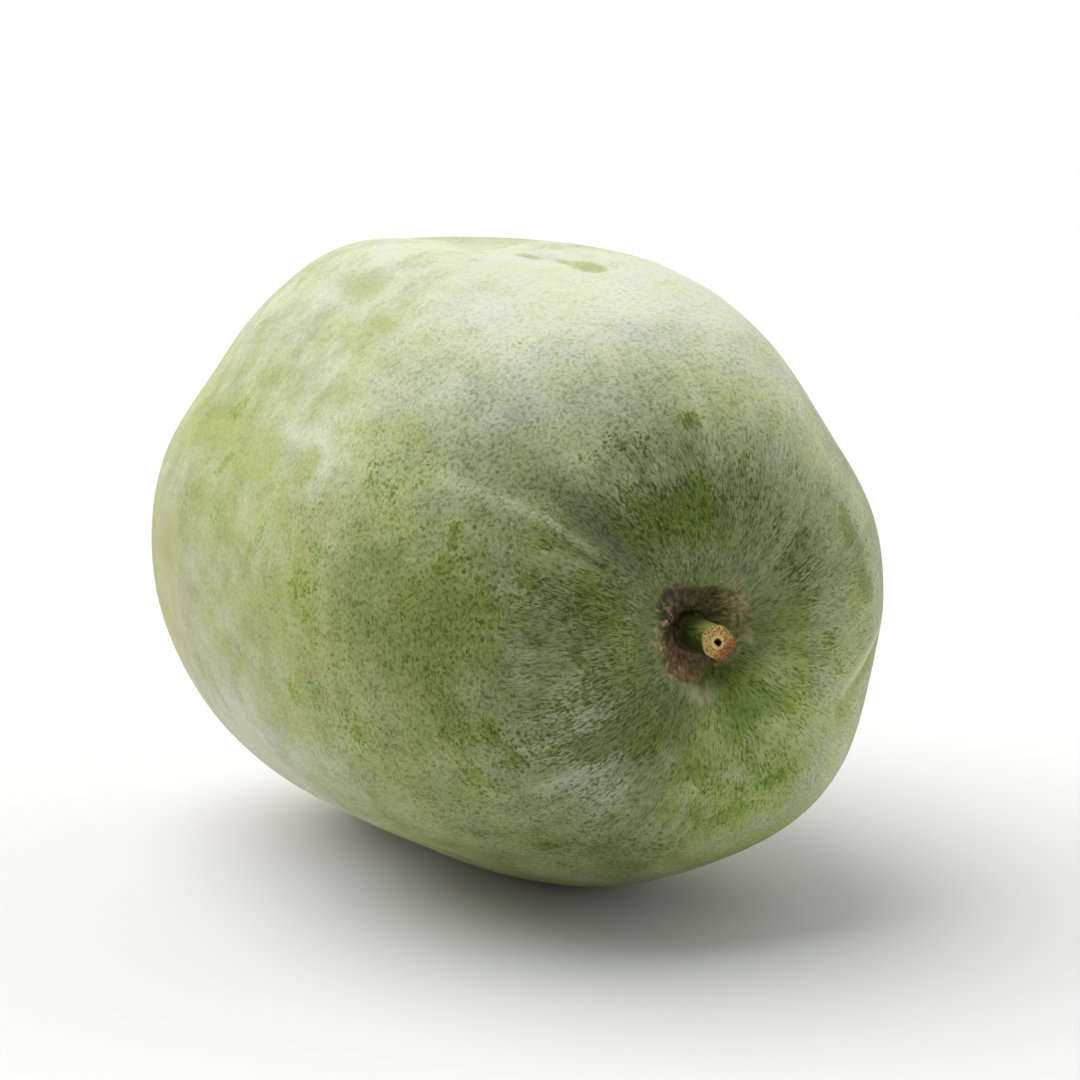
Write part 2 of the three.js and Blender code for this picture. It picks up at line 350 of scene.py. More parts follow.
# Where the rind under the bloom is yellower, and with a minus sign where it is greener.
YELLOW = [
    # Above the stalk, from the right to the left.
    (78, 95, 30, 20, 0.25), (75, 118, 34, 20, 0.4), (45, 105, 34, 20, 0.35), (40, 100, 30, 24, 0.2),
    (40, 38, 14, 8, 0.25), (78, 42, 14, 14, 0.15), (60, 72, 16, 12, 0.15), (105, 78, 12, 8, 0.12),
    # The last two entries of the next line make the left fold's valley greener and darker, part of its
    # painted shade.
    (122, 108, 9, 24, 0.3), (120, 68, 20, 16, -0.15), (135, 90, 10, 12, -0.15), (135, 76, 9, 16, -0.25),
    (150, 78, 7, 16, 0.35), (172, 42, 16, 12, 0.25), (188, 64, 12, 10, 0.15), (185, 78, 16, 12, 0.12),
    # The left flank.
    (130, 140, 14, 20, -0.12), (173, 145, 22, 40, -0.15), (180, 150, 10, 12, -0.2),
    (192, 128, 18, 20, -0.1), (235, 140, 24, 24, -0.12), (225, 110, 40, 20, 0.12),
    # Below the stalk and to its right.
    (232, 84, 16, 12, 0.12), (252, 75, 14, 24, 0.3), (268, 45, 10, 16, 0.4), (275, 60, 10, 18, 0.25),
    (270, 64, 10, 14, -0.2), (278, 98, 20, 40, 0.65), (285, 42, 7, 8, 0.08), (305, 92, 32, 36, 0.9),
    (310, 48, 20, 14, 0.3), (312, 30, 15, 10, 0.2), (335, 78, 30, 28, 0.6), (345, 42, 12, 12, 0.25),
    (5, 45, 10, 12, 0.25), (0, 42, 12, 10, -0.15), (10, 75, 24, 18, 0.4), (15, 92, 24, 18, 0.15),
    (18, 86, 12, 9, -0.35),
]
# Where the bloom is rubbed away and the rind shows yellow-green.
RUBBED = [
    # The first fold and the left flank.
    (140, 165, 14, 16, 0.7), (154, 212, 12, 10, 0.9), (155, 250, 13, 20, 1.0), (152, 300, 13, 34, 1.0),
    (166, 290, 10, 20, 0.7), (178, 318, 8, 18, 0.9), (180, 225, 14, 14, 0.5), (180, 200, 22, 26, 0.3),
    (205, 250, 16, 26, 0.3),
    # Below the stalk.
    (274, 46, 17, 12, 0.8),
    # Streaks on the upper side.
    (118, 262, 14, 20, 0.7), (124, 228, 6, 12, 0.8), (118, 300, 10, 24, 0.4), (82, 219, 7, 13, 1.0),
    (86, 254, 3.5, 12, 0.9), (84, 238, 3, 9, 0.6), (105, 198, 12, 8, 0.5),
    # The far side and the blossom end.
    (40, 190, 12, 24, 0.5), (350, 270, 10, 30, 0.7), (300, 200, 14, 30, 0.6), (20, 330, 12, 22, 0.7),
    (325, 360, 16, 20, 0.6), (60, 400, 12, 14, 0.6), (60, 290, 8, 26, 0.6),
]
# Deep green: rays round the stalk, and scattered clusters.
DEEP = [
    # Above the stalk and to its left.
    (75, 60, 20, 10, 0.4), (98, 66, 7, 14, 0.7), (91, 95, 3.5, 3.5, 1.0), (93, 95, 4, 6, 0.9),
    (108, 92, 8, 10, 0.4), (112, 60, 16, 13, 0.7), (120, 74, 7, 13, 0.6), (150, 38, 30, 8, 0.9),
    (152, 70, 6, 8, 0.6), (160, 82, 8, 10, 0.6), (165, 58, 20, 14, 0.5), (165, 95, 22, 22, 0.25),
    (200, 82, 18, 20, 0.4), (205, 60, 22, 26, 0.6), (205, 96, 8, 9, 0.2), (215, 70, 6, 10, 0.6),
    # The left flank.
    (137, 176, 10, 4, 0.5), (148, 167, 6, 5, 0.6), (160, 120, 6, 8, 0.6), (172, 139, 9, 5, 0.8),
    (196, 176, 6, 7, 0.6), (205, 165, 18, 20, 0.3), (210, 120, 10, 7, 0.7), (219, 133, 12, 6, 0.5),
    (222, 150, 7, 7, 0.6), (240, 128, 12, 8, 0.8), (240, 95, 12, 16, 0.3),
    # Below the stalk and to its right.
    (225, 52, 14, 12, 0.5), (228, 84, 9, 12, 0.4), (268, 60, 6, 10, 0.6), (280, 50, 8, 12, 0.5),
    (280, 84, 8, 12, 0.5), (282, 36, 10, 9, 0.6), (292, 66, 7, 12, 0.5), (300, 24, 12, 7, 0.9),
    (300, 40, 9, 9, 0.8), (300, 72, 8, 12, 0.6), (318, 48, 8, 12, 0.7), (328, 77, 6, 7, 0.9),
    (335, 52, 8, 10, 0.6), (6, 86, 6, 7, 1.0), (14, 82, 7, 7, 0.9), (15, 52, 8, 9, 0.3),
    (26, 86, 6, 8, 1.0), (30, 50, 14, 10, 0.5), (31, 92, 5, 6, 0.9),
    # The underside and the far side.
    (290, 150, 24, 30, 0.4), (345, 140, 18, 14, 0.4), (20, 150, 16, 12, 0.3), (270, 230, 40, 40, 0.3),
    (330, 230, 12, 10, 0.5),
]
# Fresh green rather than yellow, on the underside of the stem end.
FRESH = [(287, 80, 28, 50, 1.0), (320, 60, 24, 24, 0.5), (250, 150, 20, 30, 0.3)]
# Dark grey: in the valley beside the left fold it is painted shade over thin bloom, and round the cavity
# it darkens the soft ground in a ring.
DUSK_AND_SHADE = [
    (136, 62, 5, 14, 0.9), (134, 80, 6, 14, 0.6), (134, 100, 7, 16, 0.2),
    (10, 34, 12, 7, 0.4), (60, 36, 10, 5, 0.6), (100, 38, 12, 5, 0.5), (150, 40, 10, 6, 0.5),
    (190, 36, 12, 5, 0.4), (232, 36, 10, 6, 0.5),
]
# Cream and tan: the blossom half, the patch that lay on the ground, and a pale spot on the lip below the
# cavity.
CREAM = [
    (174, 317, 10, 15, 0.9), (186, 316, 16, 20, 0.3), (178, 338, 22, 20, 0.4), (195, 300, 40, 46, 0.45),
    (150, 340, 24, 20, 0.35), (215, 350, 40, 40, 0.6), (250, 330, 60, 60, 0.6), (0, 480, 900, 34, 0.5),
    (268, 200, 44, 60, 0.55), (260, 27, 6, 5, 1.0),
]
# Inside the cavity: painted shade on the cork, deepest at its middle and on the side under the shoulder.
CAVITY_SHADE = [
    (108, 16, 12, 8, 1.0), (132, 27, 12, 9, 1.0), (92, 24, 9, 7, 0.9), (150, 20, 8, 8, 0.9),
    (172, 10, 7, 7, 0.9), (20, 6, 7, 6, 0.6), (140, 37, 9, 7, 0.8),
]
# Greenish where the wall is not corked over, and russet where the cork is freshly torn.
MOSSY = [
    (345, 22, 12, 9, 1.0), (12, 26, 10, 8, 0.9), (35, 30, 8, 6, 0.7), (308, 20, 9, 6, 1.0),
    (222, 31, 9, 5, 0.9),
]
RUSSET = [
    (245, 12, 10, 7, 0.9), (228, 12, 9, 8, 0.8), (248, 20, 7, 5, 0.7), (100, 18, 6, 5, 0.3),
    (200, 22, 8, 6, 0.3),
]
# Tan flakes of torn cork in the cavity.
FLAKES = [
    (157, 29, 6, 6, 0.85), (171, 30, 6, 6, 0.85), (185, 27, 6, 6, 0.7), (142, 40, 6, 5, 0.7),
    (77, 29, 6, 3, 0.9), (39, 25, 5, 5, 1.0), (43, 20, 4, 5, 0.9), (27, 20, 5, 5, 0.9),
    (252, 17, 7, 5, 1.0), (230, 22, 7, 5, 0.7), (210, 24, 6, 5, 0.7), (104, 15, 8, 6, 0.3),
]
# The cork reaches out past the rim at the upper left, and stops short of it below the stalk.
CORK_LOBES = [dict(around=140, spread=24, reach=12), dict(around=290, spread=42, reach=-11)]
CORK_RAGGEDNESS = 4
cork_edge = RIM_EDGE + CORK_RAGGEDNESS * grain(2, 40, 11)
for lobe in CORK_LOBES:
    cork_edge += lobe["reach"] * np.exp(-((turn_between(AROUND, lobe["around"]) / lobe["spread"]) ** 2))
cork_share = 1 - smooth(ALONG, cork_edge - 6, cork_edge + 2)
# The second fold has a cream ridge on its crest, and an olive furrow to the left of it.
away, share = beside_route(FOLDS[1]["route"], AROUND, ALONG, RADIUS)
ridge = smooth(share, 0.1, 0.35) * np.exp(-(((away + 2.0) / 2.6) ** 2))
furrow = smooth(share, 0, 0.2) * np.exp(-(((away - 6.5) / 4.0) ** 2))

# Each painted layer, with its values at the cavity's middle and at the blossom end.
overall_bloom = 0.05 + 0.07 * smooth(ALONG, 60, 100)
overall_yellow = 0.1 + 0.85 * smooth(ALONG, 50, 215)
paint(fruit, "bloom", patch_mask(BLOOM) + overall_bloom, (0, 0.3))
paint(fruit, "yellow", patch_mask(YELLOW) + overall_yellow, (0, 0.9))
paint(fruit, "rubbed", patch_mask(RUBBED), (0, 0))
paint(fruit, "deep", patch_mask(DEEP), (0, 0))
paint(fruit, "fresh", patch_mask(FRESH), (0, 0))
paint(fruit, "dusk_and_shade", patch_mask(DUSK_AND_SHADE), (0, 0))
paint(fruit, "cream", patch_mask(CREAM), (0, 0.5))
paint(fruit, "flakes", patch_mask(FLAKES), (0, 0))
paint(fruit, "cavity_shade", patch_mask(CAVITY_SHADE), (1, 0))
paint(fruit, "mossy", patch_mask(MOSSY), (0, 0))
paint(fruit, "russet", patch_mask(RUSSET), (0, 0))
paint(fruit, "cork", cork_share, (1, 0))
paint(fruit, "navel", navel, (0, 1))
paint(fruit, "ridge", ridge, (0, 0))
paint(fruit, "furrow", furrow, (0, 0))


def node(tree, kind, settings=None, **inputs):
    """Adds one shader node. An input is a plain value or another node's output."""
    made = tree.nodes.new("ShaderNode" + kind)
    for name, value in (settings or {}).items():
        setattr(made, name, value)
    for name, value in inputs.items():
        feed(tree, made.inputs[name.replace("_", " ")], value)
    return made


def feed(tree, socket, value):
    if isinstance(value, bpy.types.NodeSocket):
        tree.links.new(value, socket)
    else:
        socket.default_value = value


def maths(tree, operation, *values, clamp=False):
    made = tree.nodes.new("ShaderNodeMath")
    made.operation, made.use_clamp = operation, clamp
    for socket, value in zip(made.inputs, values):
        feed(tree, socket, value)
    return made.outputs[0]


def between(tree, value, low, high, start=0.0, end=1.0):
    """Runs smoothly from start to end as value goes from low to high."""
    made = node(tree, "MapRange", {"interpolation_type": "SMOOTHSTEP"}, Value=value)
    for socket, number in zip(list(made.inputs)[1:5], (low, high, start, end)):
        feed(tree, socket, number)
    return made.outputs["Result"]


def mix(tree, factor, first, second, how="MIX"):
    made = node(tree, "Mix", {"data_type": "RGBA", "blend_type": how})
    feed(tree, made.inputs[0], factor)
    feed(tree, made.inputs[6], first)
    feed(tree, made.inputs[7], second)
    return made.outputs[2]


def blend(tree, factor, first, second):
    """Mixes two plain numbers."""
    made = node(tree, "Mix", {"data_type": "FLOAT"})
    feed(tree, made.inputs[0], factor)
    feed(tree, made.inputs[2], first)
    feed(tree, made.inputs[3], second)
    return made.outputs[0]


def ramp(tree, value, *stops):
    """A colour ramp through (place, red, green, blue) stops."""
    made = tree.nodes.new("ShaderNodeValToRGB")
    feed(tree, made.inputs[0], value)
    elements = made.color_ramp.elements
    while len(elements) < len(stops):
        elements.new(0.5)
    for element, (position, *colour) in zip(elements, stops):
        element.position = position
        element.color = (*colour, 1)
    return made.outputs[0]


def new_material(name):
    material = bpy.data.materials.new(name)
    material.use_nodes = True
    tree = material.node_tree
    return material, tree, tree.nodes["Principled BSDF"]


# The rind's colours, as (place, red, green, blue) stops. Green skin runs from deep green at 0, through
# mid green at 0.45, to yellow-green at 1.
FLECK_GREENS = [(0.0, 0.045, 0.068, 0.010), (0.45, 0.09, 0.125, 0.026), (1.0, 0.23, 0.28, 0.055)]
NET_GREENS = [(0.0, 0.14, 0.19, 0.045), (0.45, 0.23, 0.275, 0.09), (1.0, 0.40, 0.43, 0.15)]
DASH_GREENS = [(0.0, 0.20, 0.24, 0.05), (1.0, 0.42, 0.45, 0.13)]
POWDER = [(0.0, 0.54, 0.58, 0.51), (0.8, 0.63, 0.645, 0.525)]
POWDER_ON_FLECKS = (0.48, 0.55, 0.33, 1)
POWDER_ON_CREAM = (0.62, 0.58, 0.42, 1)
CREAM_SKIN = (0.42, 0.38, 0.19, 1)
# Dark grey for the left fold's valley, where it is painted shade, and for the ring round the cavity.
WEATHERED_AND_SHADED_SKIN = [(0.0, 0.07, 0.083, 0.042), (1.0, 0.15, 0.168, 0.098)]
FURROW_OLIVE = [(0.0, 0.21, 0.26, 0.05), (1.0, 0.34, 0.39, 0.12)]
RIDGE_CREAM = (0.53, 0.54, 0.34, 1)
# Tints that multiply the colour under them.
FRESH_TINT = (0.91, 1.05, 0.88, 1)
DEEP_TINT = (0.78, 0.98, 0.42, 1)
COOL_TINT = (1.02, 0.99, 1.28, 1)
WARM_TINT = (0.98, 1.01, 0.70, 1)
# Cork, from the bottoms of its tears to their crests.
CORK = [(0.12, 0.08, 0.078, 0.030), (0.3, 0.16, 0.15, 0.064), (0.46, 0.27, 0.235, 0.11)]
# The same cork darkened with painted shade, for the cavity's middle and its side under the shoulder.
SHADED_CORK = [(0.12, 0.018, 0.015, 0.007), (0.3, 0.042, 0.035, 0.014), (0.46, 0.11, 0.082, 0.034)]
MOSSY_CORK = [(0.12, 0.15, 0.16, 0.05), (0.45, 0.33, 0.33, 0.14)]
RUSSET_CORK = [(0.12, 0.16, 0.12, 0.055), (0.3, 0.26, 0.18, 0.09), (0.46, 0.42, 0.26, 0.15)]
TAN_FLAKE = [(0.35, 0.21, 0.12, 0.05), (0.65, 0.50, 0.33, 0.17)]
BLOSSOM_SCAR = [(0.35, 0.09, 0.06, 0.03), (0.65, 0.34, 0.25, 0.14)]
# How closely the rays stand: in the first band, and in two more with the distance along the rind in
# metres where each begins. Past RAYS_END the cells are round.
FIRST_RAYS = 22.0
MORE_RAYS = ((35.0, 0.042), (54.0, 0.068))
RAYS_END = 0.094
RAY_CELLS_PER_METRE = (260.0, 270.0)
ROUND_CELLS_PER_METRE = 430.0


def waxy_rind():
    material, tree, shader = new_material("waxy_rind")
    spot = node(tree, "TexCoord").outputs["Object"]
    grown = node(tree, "Attribute", {"attribute_name": "growth"}).outputs["Vector"]
    reach = node(tree, "SeparateXYZ", Vector=grown).outputs["Z"]

    def painted(name):
        return node(tree, "Attribute", {"attribute_name": name}).outputs["Fac"]

    def clouds(scale, detail=2.0, vector=spot, roughness=0.5, distortion=0.0):
        made = node(tree, "TexNoise", Vector=vector, Scale=scale, Detail=detail, Roughness=roughness,
                    Distortion=distortion)
        return made.outputs["Fac"]

    def drawn(turns, lengths, start=0.0):
        """Coordinates for drawn-out grain: turns sets how many go round, lengths how many fill a metre."""
        made = node(tree, "VectorMath", {"operation": "MULTIPLY_ADD"})
        tree.links.new(grown, made.inputs[0])
        made.inputs[1].default_value = (turns, turns, lengths)
        made.inputs[2].default_value = (start, start, start)
        return made.outputs[0]

    def times(*values):
        made = values[0]
        for value in values[1:]:
            made = maths(tree, "MULTIPLY", made, value)
        return made

    def swap(factor, first, second):
        """Takes the second vector where the factor is 1, and the first where it is 0."""
        made = node(tree, "Mix", {"data_type": "VECTOR"})
        feed(tree, made.inputs[0], factor)
        feed(tree, made.inputs[4], first)
        feed(tree, made.inputs[5], second)
        return made.outputs[1]

    def swung(value, noisy, share):
        """Adds a noise, swung about its middle, to a number."""
        return maths(tree, "MULTIPLY_ADD", maths(tree, "SUBTRACT", noisy, 0.5), share, value)

    # The mottle is drawn in cells. Over most of the fruit they are round, and round the stalk they are
    # drawn out into rays, in three bands so that they keep their width.
    cells = drawn(FIRST_RAYS, RAY_CELLS_PER_METRE[0])
    ragged_reach = swung(reach, clouds(70.0), 0.05)
    for turns, start in MORE_RAYS:
        beyond = maths(tree, "GREATER_THAN", ragged_reach, start)
        cells = swap(beyond, cells, drawn(turns, RAY_CELLS_PER_METRE[1], turns))
    rounded = node(tree, "VectorMath", {"operation": "SCALE"}, Vector=spot, Scale=ROUND_CELLS_PER_METRE)
    cells = swap(maths(tree, "GREATER_THAN", ragged_reach, RAYS_END), cells, rounded.outputs[0])
    sway = node(tree, "TexNoise", Vector=cells, Scale=1.1, Detail=1.0)
    swayed = node(tree, "VectorMath", {"operation": "MULTIPLY_ADD"}, Vector=sway.outputs["Color"])
    swayed.inputs[1].default_value = (0.8, 0.8, 0.8)
    tree.links.new(cells, swayed.inputs[2])
    cell = node(tree, "TexVoronoi", Vector=swayed.outputs[0], Scale=1.0)
    lot = node(tree, "SeparateColor", Color=cell.outputs["Color"])
    size = maths(tree, "MULTIPLY_ADD", lot.outputs["Red"], 0.35, 0.42)
    dark = between(tree, maths(tree, "DIVIDE", cell.outputs["Distance"], size), 0.1, 1.0, 1.0, 0.0)
    dark = times(dark, between(tree, lot.outputs["Green"], -0.3, 0.6))
    grains = clouds(1.6, 3.0, cells, roughness=0.75)
    bushy = clouds(95.0, 3.0, roughness=0.6)

    # 0 is the middle of a dark fleck and 1 the palest grain of the net between flecks.
    calm = between(tree, reach, 0.16, 0.25, 1.0, 0.5)
    fresh = painted("fresh")
    net = between(tree, painted("yellow"), 0.0, 0.5, 0.62, 0.8)
    net = swung(net, grains, times(calm, maths(tree, "MULTIPLY_ADD", fresh, 2.4, 4.2)))
    fleck = times(dark, between(tree, bushy, 0.36, 0.56, 0.5, 1.0), calm)
    fleck = times(fleck, maths(tree, "MULTIPLY_ADD", fresh, 0.2, -0.85))
    net = maths(tree, "ADD", fleck, net, clamp=True)

    # Slow drifts break up every patch, and long rays of tone run out from the stalk.
    drift = clouds(13.0, 3.0)
    patchy = clouds(55.0, 5.0, roughness=0.65)
    long_rays = blend(tree, between(tree, reach, 0.05, 0.08), clouds(1.0, 3.0, drawn(8.0, 22.0)),
                      clouds(1.0, 3.0, drawn(15.0, 22.0, 3.0)))
    ray_part = between(tree, reach, 0.09, 0.17, 1.0, 0.0)

    # The patches of deep green have edges broken up by the drifts and the flecks.
    clusters = between(tree, clouds(62.0, 2.0, roughness=0.4), 0.56, 0.72)
    clusters = times(clusters, between(tree, painted("bloom"), 0.2, 0.45, 0.75, 0.0))
    deep = maths(tree, "ADD", painted("deep"), clusters)
    deep = maths(tree, "ADD", deep, swung(swung(0.0, patchy, 1.6), net, -0.5))
    deep = between(tree, deep, 0.35, 0.75)
    rubbed = between(tree, swung(painted("rubbed"), patchy, 1.4), 0.3, 0.8)

    # The bare skin: its tone sets the greens of its flecks, of the net between them and of fine dashes.
    cream = painted("cream")
    tone = swung(painted("yellow"), drift, 0.5)
    tone = swung(tone, patchy, maths(tree, "MULTIPLY_ADD", fresh, 0.6, 0.9))
    tone = swung(tone, long_rays, times(ray_part, 0.6))
    tone = maths(tree, "MULTIPLY_ADD", deep, -0.2, tone, clamp=True)
    bare = mix(tree, net, ramp(tree, tone, *FLECK_GREENS), ramp(tree, tone, *NET_GREENS))
    thinner = node(tree, "VectorMath", {"operation": "MULTIPLY"}, Vector=swayed.outputs[0])
    thinner.inputs[1].default_value = (2.6, 2.6, 1.0)
    dashes = between(tree, clouds(1.0, 1.0, thinner.outputs[0]), 0.58, 0.68)
    dashes = times(dashes, between(tree, reach, 0.1, 0.16, 0.9, 0.3))
    bare = mix(tree, dashes, bare, ramp(tree, tone, *DASH_GREENS))
    bare = mix(tree, fresh, bare, mix(tree, 1.0, bare, FRESH_TINT, "MULTIPLY"))
    bare = mix(tree, times(deep, 0.75), bare, mix(tree, 1.0, bare, DEEP_TINT, "MULTIPLY"))
    bare = mix(tree, times(cream, 0.8), bare, CREAM_SKIN)

    # The powdery bloom: thin on flecks, wiped in soft strokes across the blossom half.
    wiped = clouds(1.0, 1.5, drawn(4.5, 100.0, 2.0))
    hairlines = clouds(1.0, 2.0, drawn(9.0, 520.0, 4.0))
    combed = between(tree, clouds(1.0, 3.0, drawn(15.0, 20.0, 5.0)), 0.55, 0.75)
    wiped_share = between(tree, reach, 0.14, 0.24)
    speckle = clouds(160.0, 3.0, roughness=0.7)
    bloom = swung(painted("bloom"), patchy, maths(tree, "MULTIPLY_ADD", fresh, 0.7, 0.55))
    bloom = swung(bloom, long_rays, times(ray_part, 0.4))
    bloom = swung(swung(bloom, wiped, times(wiped_share, 0.5)), patchy, times(wiped_share, 0.8))
    bloom = swung(bloom, speckle, times(wiped_share, 0.45))
    hairlines = between(tree, hairlines, 0.6, 0.75)
    bloom = maths(tree, "MULTIPLY_ADD", hairlines, times(wiped_share, 0.12), bloom)
    bloom = maths(tree, "MULTIPLY_ADD", combed, times(between(tree, reach, 0.12, 0.18), -0.12), bloom)
    bloom = times(bloom, maths(tree, "MULTIPLY_ADD", rubbed, -0.8, 1.0))
    bloom = maths(tree, "MULTIPLY", bloom, maths(tree, "MULTIPLY_ADD", deep, -0.7, 1.0), clamp=True)
    thin = times(maths(tree, "SUBTRACT", 1.0, net), maths(tree, "MULTIPLY_ADD", bloom, -0.5, 0.68))
    bloom = times(bloom, maths(tree, "SUBTRACT", 1.0, thin))
    powder = ramp(tree, bloom, *POWDER)
    powder = mix(tree, times(maths(tree, "SUBTRACT", 1.0, net), 0.5), powder, POWDER_ON_FLECKS)
    powder = mix(tree, cream, powder, POWDER_ON_CREAM)
    skin_colour = mix(tree, bloom, bare, powder)

    # Bluer and yellower tinges drift over the skin, most where there is little bloom.
    tinge_swing = maths(tree, "MULTIPLY_ADD", bloom, -1.2, maths(tree, "MULTIPLY_ADD", fresh, 1.8, 2.4))
    tinge = swung(0.5, clouds(34.0, 5.0, roughness=0.72), tinge_swing)
    tinge = maths(tree, "MINIMUM", maths(tree, "MAXIMUM", tinge, 0.0), 1.0)
    cool = mix(tree, 1.0, skin_colour, COOL_TINT, "MULTIPLY")
    warm = mix(tree, 1.0, skin_colour, WARM_TINT, "MULTIPLY")
    skin_colour = mix(tree, tinge, warm, cool)
    # Dark grey over the left fold's valley, painted shade over thin bloom, and in a ring round the cavity.
    dusk_and_shade = times(painted("dusk_and_shade"), between(tree, patchy, 0.2, 0.6, 0.6, 1.0))
    skin_colour = mix(tree, dusk_and_shade, skin_colour, ramp(tree, net, *WEATHERED_AND_SHADED_SKIN))

    # The second fold: an olive furrow beside a cream line along its crest, both broken up in patches.
    patch_breakup = between(tree, patchy, 0.3, 0.5, 0.6, 1.0)
    skin_colour = mix(tree, times(painted("furrow"), patch_breakup), skin_colour, ramp(tree, net, *FURROW_OLIVE))
    skin_colour = mix(tree, times(painted("ridge"), patch_breakup), skin_colour, RIDGE_CREAM)

    # The cavity is lined with torn cork, darkened with painted shade on its shaded side and at its middle.
    # It is greenish where it is thinner, russet in places, and stands up in tan flakes.
    strokes = clouds(1.0, 2.0, drawn(9.0, 190.0, 1.0), distortion=0.6)
    crumb = clouds(500.0, 3.0)
    tears = swung(times(strokes, 0.6), crumb, 0.9)
    cork = mix(tree, painted("cavity_shade"), ramp(tree, tears, *CORK), ramp(tree, tears, *SHADED_CORK))
    cork = mix(tree, painted("mossy"), cork, ramp(tree, tears, *MOSSY_CORK))
    cork = mix(tree, painted("russet"), cork, ramp(tree, tears, *RUSSET_CORK))
    flake = times(painted("flakes"), between(tree, strokes, 0.48, 0.58))
    cork = mix(tree, flake, cork, ramp(tree, crumb, *TAN_FLAKE))
    corked = between(tree, swung(swung(painted("cork"), crumb, 1.0), strokes, 1.2), 0.2, 0.8)
    skin_colour = mix(tree, maths(tree, "MAXIMUM", corked, times(flake, 0.9)), skin_colour, cork)
    skin_colour = mix(tree, painted("navel"), skin_colour, ramp(tree, crumb, *BLOSSOM_SCAR))
    tree.links.new(skin_colour, shader.inputs["Base Color"])

    tree.links.new(between(tree, bloom, 0.0, 0.8, 0.46, 0.8), shader.inputs["Roughness"])
    shader.inputs["Specular IOR Level"].default_value = 0.18
    relief = times(net, between(tree, bloom, 0.0, 0.6, 0.3, 0.05))
    relief = maths(tree, "MULTIPLY_ADD", times(painted("cork"), crumb), 3.0, relief)
    bump = node(tree, "Bump", Height=relief, Strength=0.4, Distance=0.0004)
    tree.links.new(bump.outputs[0], shader.inputs["Normal"])
    return material


fruit.data.materials.append(waxy_rind())
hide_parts("fruit")
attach(fruit, "root")

# ---------------------------------------------------------------------------------------------------
# The stem: the stub of the stalk, a ribbed green column cut square with a knife. Its cut face has dried
# tan, with rings of dark sap vessels round a small torn hollow, and one side of it has gone rusty. It
# stands in the cavity a hair clear of the rind.

# Sizes in millimetres. A ring is (distance in front of the cavity's floor, radius).
STEM_CUT = 22
STEM_CUT_RADIUS = 7
STEM_GAP = 0.3
STEM_FOOT_RADIUS = 8.4
STEM_FLARE_OUT = 9
STEM_RINGS = [(9, 6.7), (14, 6.6), (19, 6.8), (21.4, STEM_CUT_RADIUS)]
STEM_RIBS = {"count": 5, "share": 0.025}
STEM_OVAL = {"towards": 320, "share": 0.1}
STEM_SIDES = 180
STEM_GROOVES = [dict(turns=4, reach=14, depth=0.16, seed=31), dict(turns=10, reach=9, depth=0.08, seed=32)]
CUT_DENTS = [dict(size=0.9, depth=0.1, seed=34), dict(size=3.0, depth=0.12, seed=35)]
# Degrees about the stem, from +X towards +Z.
# The side of the stalk painted lighter, as if lit from above; the side opposite is painted in shade.
LIT_SIDE = 75
RUSTY_SIDE = 315
# Distance from the axis and in front of the cavity's floor, from the hollow's bottom out to the rim.
HOLLOW_BOTTOM = 19.3
HOLLOW = [(0.25, 19.4), (0.6, 19.3), (0.9, 19.8), (1.1, 20.7), (1.25, 21.4), (1.5, 21.7)]
CUT_FACE = [(radius, 21.75) for radius in np.arange(1.75, 6.4, 0.16)]
CUT_RIM = [(6.45, 21.85), (6.7, 21.8), (6.9, 21.65)]


def stem_rows():
    """The stem's outline from the hollow's bottom, over the cut face and down its side to its foot."""
    outs, radii = zip(*STEM_RINGS)
    side = [(np.interp(out, outs, radii), out) for out in np.arange(outs[-1], STEM_FLARE_OUT, -0.3)]
    foot_out = stem_end_y(0) - stem_end_y(STEM_FOOT_RADIUS) + 2 * STEM_GAP
    foot = []
    for share in np.linspace(0, 1, 20):
        radius = radii[0] + (STEM_FOOT_RADIUS - radii[0]) * share**3
        foot.append((radius, STEM_FLARE_OUT + (foot_out - STEM_FLARE_OUT) * share))
    return np.array(HOLLOW + CUT_FACE + CUT_RIM + side + foot)


